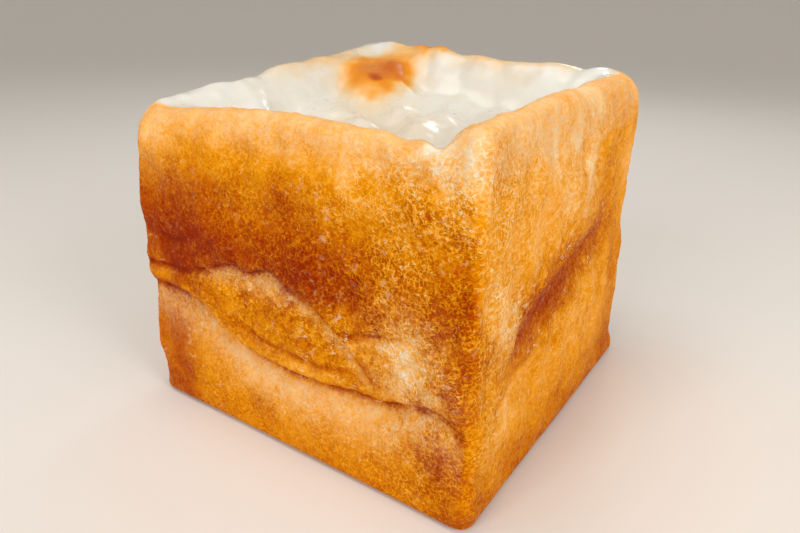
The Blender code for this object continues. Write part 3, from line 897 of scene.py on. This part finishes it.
# Height of the finest relief, which shades the surface without moving it
BUMP_HEIGHT = 0.6 * MM

# How rough the moist top's wet film is
COAT_ROUGHNESS = 0.20

# How far red, green and blue light go into bread, compared with each other
LIGHT_GOES_IN = (1.0, 0.7, 0.45)

# Each finish: how much it shines and in what colour, how much light goes in and how far
BAKED_CRUST = dict(specular=0.06, tint=(1.0, 0.62, 0.25, 1.0), subsurface=0.05, reach=0.8 * MM)
MOIST_TOP = dict(specular=0.2, tint=(1, 1, 1, 1), subsurface=0.60, reach=3.0 * MM)


def bread_material(name, surface, specular, tint, subsurface, reach):
    """One finish of the bread, with its shine and how far light goes into it."""
    material = bpy.data.materials.new(name)
    material.use_nodes = True
    nodes = Nodes(material.node_tree)
    shader = material.node_tree.nodes["Principled BSDF"]
    place = nodes.add("ShaderNodeTexCoord").outputs["Object"]

    def reading(attribute):
        return nodes.add("ShaderNodeAttribute", attribute_name=attribute).outputs["Fac"]

    bread = nodes.add("ShaderNodeGroup", node_tree=surface)
    nodes.put(bread.inputs["Vector"], place)
    for mask in ("Browning", "Pale Top", "Crease", "Wrinkled", "Crazed", "Chalky"):
        nodes.put(bread.inputs[mask], reading(mask.lower().replace(" ", "_")))
    relief = {"Strength": 1.0, "Distance": BUMP_HEIGHT, "Height": bread.outputs["Height"]}
    bump = nodes.add("ShaderNodeBump", relief)
    nodes.put(shader.inputs["Base Color"], bread.outputs["Colour"])
    nodes.put(shader.inputs["Roughness"], bread.outputs["Roughness"])
    nodes.put(shader.inputs["Coat Weight"], bread.outputs["Coat"])
    nodes.put(shader.inputs["Normal"], bump.outputs["Normal"])
    shader.inputs["Specular IOR Level"].default_value = specular
    shader.inputs["Specular Tint"].default_value = tint
    shader.inputs["Coat Roughness"].default_value = COAT_ROUGHNESS
    shader.inputs["Subsurface Weight"].default_value = subsurface
    shader.inputs["Subsurface Radius"].default_value = LIGHT_GOES_IN
    shader.inputs["Subsurface Scale"].default_value = reach
    return material


# Sizes of the fine relief, by the name of its tree's input
RELIEF = {
    "Pucker Height": 1.1 * MM,
    "Pucker Length": 4 * MM,
    "Rim Pucker": 1.3,
    "Wrinkle Height": 3.6 * MM,
    "Wrinkle Width": WRINKLE_WIDTH,
    "Pit Depth": 0.5 * MM,
    "Pit Spacing": 6 * MM,
    "Lump Height": 1.7 * MM,
    "Lump Size": 9 * MM,
}

# Between which heights the puckers grow to the rim's, and from which the relief starts
RIM_PUCKERS = (88 * MM, 95 * MM)
RELIEF_STARTS = (1.5 * MM, 6 * MM)

# Where a pit's floor ends and its edge is, as shares of the spacing, and the share of cells
# that have one
PIT_FLOOR = 0.08
PIT_EDGE = 0.30
PIT_SHARE = 0.35


def fine_relief_tree(crust, top):
    """Puckers, wrinkles and pits in the crust, moist lumps in the top, and each one's material."""
    nodes, given, put = new_group(
        "fine_relief", "GeometryNodeTree",
        {"Geometry": ("NodeSocketGeometry", None), **{name: (FLOAT, size) for name, size in RELIEF.items()}},
        {"Geometry": "NodeSocketGeometry"})
    place = nodes.add("GeometryNodeInputPosition").outputs[0]
    normal = nodes.add("GeometryNodeInputNormal").outputs[0]

    def reading(attribute):
        return nodes.add("GeometryNodeInputNamedAttribute", {"Name": attribute}, data_type="FLOAT").outputs[0]

    pale_top = reading("pale_top")
    on_crust = nodes.minus(1.0, pale_top)
    pucker = nodes.times(nodes.uneven(place, given["Pucker Length"], 4.0, 0.6), given["Pucker Height"])
    height = nodes.add("ShaderNodeSeparateXYZ", {"Vector": place}).outputs["Z"]
    pucker = nodes.times(pucker, nodes.between(height, *RIM_PUCKERS, 1.0, given["Rim Pucker"]))
    wrinkles = nodes.stretched(place, WRINKLE_TILT, DRAWN_OUT)
    ridges = nodes.uneven(wrinkles, given["Wrinkle Width"], 3.0, 0.6, 0.6)
    ridges = nodes.times(nodes.times(ridges, given["Wrinkle Height"]), reading("wrinkled"))
    lump = nodes.times(nodes.uneven(place, given["Lump Size"], 1.5, 0.45), given["Lump Height"])
    apart = nodes.math("DIVIDE", 1.0, given["Pit Spacing"])
    cells = nodes.add("ShaderNodeTexVoronoi", {"Vector": place, "Scale": apart})
    pit = nodes.between(cells.outputs["Distance"], PIT_FLOOR, PIT_EDGE, 1.0, 0.0)
    pick = nodes.add("FunctionNodeSeparateColor", {"Color": cells.outputs["Color"]}).outputs[0]
    pit = nodes.times(nodes.times(pit, nodes.math("LESS_THAN", pick, PIT_SHARE)), given["Pit Depth"])
    above_base = nodes.between(height, *RELIEF_STARTS)
    out = nodes.minus(nodes.plus(pucker, ridges), pit)
    out = nodes.times(out, nodes.times(on_crust, above_base))
    out = nodes.plus(out, nodes.times(lump, pale_top))
    offset = nodes.scaled(normal, out)
    moved = nodes.add("GeometryNodeSetPosition", {"Geometry": given["Geometry"], "Offset": offset})
    real = nodes.add("GeometryNodeRealizeInstances", {"Geometry": moved.outputs[0]})
    baked = nodes.add("GeometryNodeSetMaterial", {"Geometry": real.outputs[0], "Material": crust})
    moist = nodes.math("GREATER_THAN", pale_top, 0.5)
    finished = nodes.add(
        "GeometryNodeSetMaterial", {"Geometry": baked.outputs[0], "Selection": moist, "Material": top})
    nodes.put(put["Geometry"], finished.outputs[0])
    return nodes.tree


def apply_tree(loaf, tree, sizes):
    """Runs a Geometry Nodes tree on the piece with these sizes, and keeps the plain mesh."""
    relief = loaf.modifiers.new("relief", "NODES")
    relief.node_group = tree
    for item in tree.interface.items_tree:
        if item.in_out == "INPUT" and item.name in sizes:
            relief[item.identifier] = sizes[item.name]
    mesh = bpy.data.meshes.new_from_object(loaf.evaluated_get(bpy.context.evaluated_depsgraph_get()))
    loaf.modifiers.clear()
    loaf.data = mesh


# Camera, fitted to the photograph's corners of the loaf
CAMERA_PLACE = (113.0 * MM, -168.7 * MM, 122.7 * MM)
CAMERA_YAW = math.radians(-33.98)
CAMERA_PITCH = math.radians(22.74)
CAMERA_ROLL = math.radians(0.82)
LENS = 28.8
SENSOR = 36
NEAREST_SEEN = 1 * MM


def add_camera():
    forward = Vector((
        math.sin(CAMERA_YAW) * math.cos(CAMERA_PITCH),
        math.cos(CAMERA_YAW) * math.cos(CAMERA_PITCH),
        -math.sin(CAMERA_PITCH)))
    right = forward.cross(Vector((0, 0, 1))).normalized()
    up = right.cross(forward)
    rolled_right = math.cos(CAMERA_ROLL) * right + math.sin(CAMERA_ROLL) * up
    rolled_up = math.cos(CAMERA_ROLL) * up - math.sin(CAMERA_ROLL) * right
    data = bpy.data.cameras.new("camera")
    data.lens = LENS
    data.sensor_width = SENSOR
    data.clip_start = NEAREST_SEEN
    camera = add_object("camera", data)
    turn = Matrix((rolled_right, rolled_up, -forward)).transposed().to_4x4()
    turn.translation = CAMERA_PLACE
    camera.matrix_world = turn
    bpy.context.scene.camera = camera


# Soft square lights, in metres and watts: place, power and size. They look at LIT_PLACE
LIGHTS = {
    "ceiling": ((-0.15, -0.10, 0.80), 1.6, 0.4),
    "front": ((-0.05, -0.85, 0.48), 3.45, 0.4),
    "right": ((0.80, -0.15, 0.45), 3.7, 0.4),
    "glint": ((-0.12, 0.62, 0.44), 0.35, 0.12),
}
LIT_PLACE = (0, 0, 50 * MM)


def add_light(name, place, power, size):
    data = bpy.data.lights.new(name, "AREA")
    data.energy = power
    data.size = size
    light = add_object(name, data)
    light.location = place
    aim = Vector(LIT_PLACE) - Vector(place)
    light.rotation_euler = aim.to_track_quat("-Z", "Y").to_euler()


# The pale ground: flat out to here, then it curves up all round
FLAT_REACH = 1.2
CURVE_RADIUS = 2.0
CURVE_STEPS = 24
GROUND_STEPS = 96
MERGE_WITHIN = 0.1 * MM
FLOOR_COLOUR = "E4DED6"
FLOOR_ROUGHNESS = 0.7

# Light that comes from all round
SKY_COLOUR = (1.0, 0.97, 0.93, 1)
SKY_STRENGTH = 0.5


def add_floor():
    """A pale floor that curves up into a backdrop all round, far from the loaf."""
    form = bmesh.new()
    profile = [form.verts.new((0, 0, 0)), form.verts.new((FLAT_REACH, 0, 0))]
    for step in range(1, CURVE_STEPS + 1):
        turn = step / CURVE_STEPS * math.pi / 2
        out = FLAT_REACH + CURVE_RADIUS * math.sin(turn)
        profile.append(form.verts.new((out, 0, CURVE_RADIUS * (1 - math.cos(turn)))))
    edges = [form.edges.new(pair) for pair in zip(profile, profile[1:])]
    bmesh.ops.spin(
        form, geom=profile + edges, axis=(0, 0, 1), cent=(0, 0, 0), angle=2 * math.pi, steps=GROUND_STEPS,
        use_merge=True)
    bmesh.ops.remove_doubles(form, verts=form.verts[:], dist=MERGE_WITHIN)
    bmesh.ops.recalc_face_normals(form, faces=form.faces[:])
    if sum(face.normal.z for face in form.faces) < 0:
        bmesh.ops.reverse_faces(form, faces=form.faces[:])
    mesh = bpy.data.meshes.new("floor")
    form.to_mesh(mesh)
    form.free()
    mesh.shade_smooth()
    floor = add_object("floor", mesh)
    material = bpy.data.materials.new("pale_floor")
    material.use_nodes = True
    shader = material.node_tree.nodes["Principled BSDF"]
    shader.inputs["Base Color"].default_value = srgb(FLOOR_COLOUR)
    shader.inputs["Roughness"].default_value = FLOOR_ROUGHNESS
    floor.data.materials.append(material)


def add_world():
    world = bpy.data.worlds.new("soft_room")
    bpy.context.scene.world = world
    world.use_nodes = True
    sky = world.node_tree.nodes["Background"]
    sky.inputs["Color"].default_value = SKY_COLOUR
    sky.inputs["Strength"].default_value = SKY_STRENGTH


def main():
    add_camera()
    web = crumb_web_group()
    pores = pores_group()
    surface = baked_surface_group(web, pores)
    crust = bread_material("baked_crust", surface, **BAKED_CRUST)
    top = bread_material("moist_top", surface, **MOIST_TOP)
    loaf = make_loaf()
    apply_tree(loaf, fine_relief_tree(crust, top), RELIEF)
    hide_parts("loaf")
    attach(loaf, "root")
    add_floor()
    add_world()
    for name, (place, power, size) in LIGHTS.items():
        add_light(name, place, power, size)
    bpy.context.scene.view_settings.view_transform = "Standard"


main()
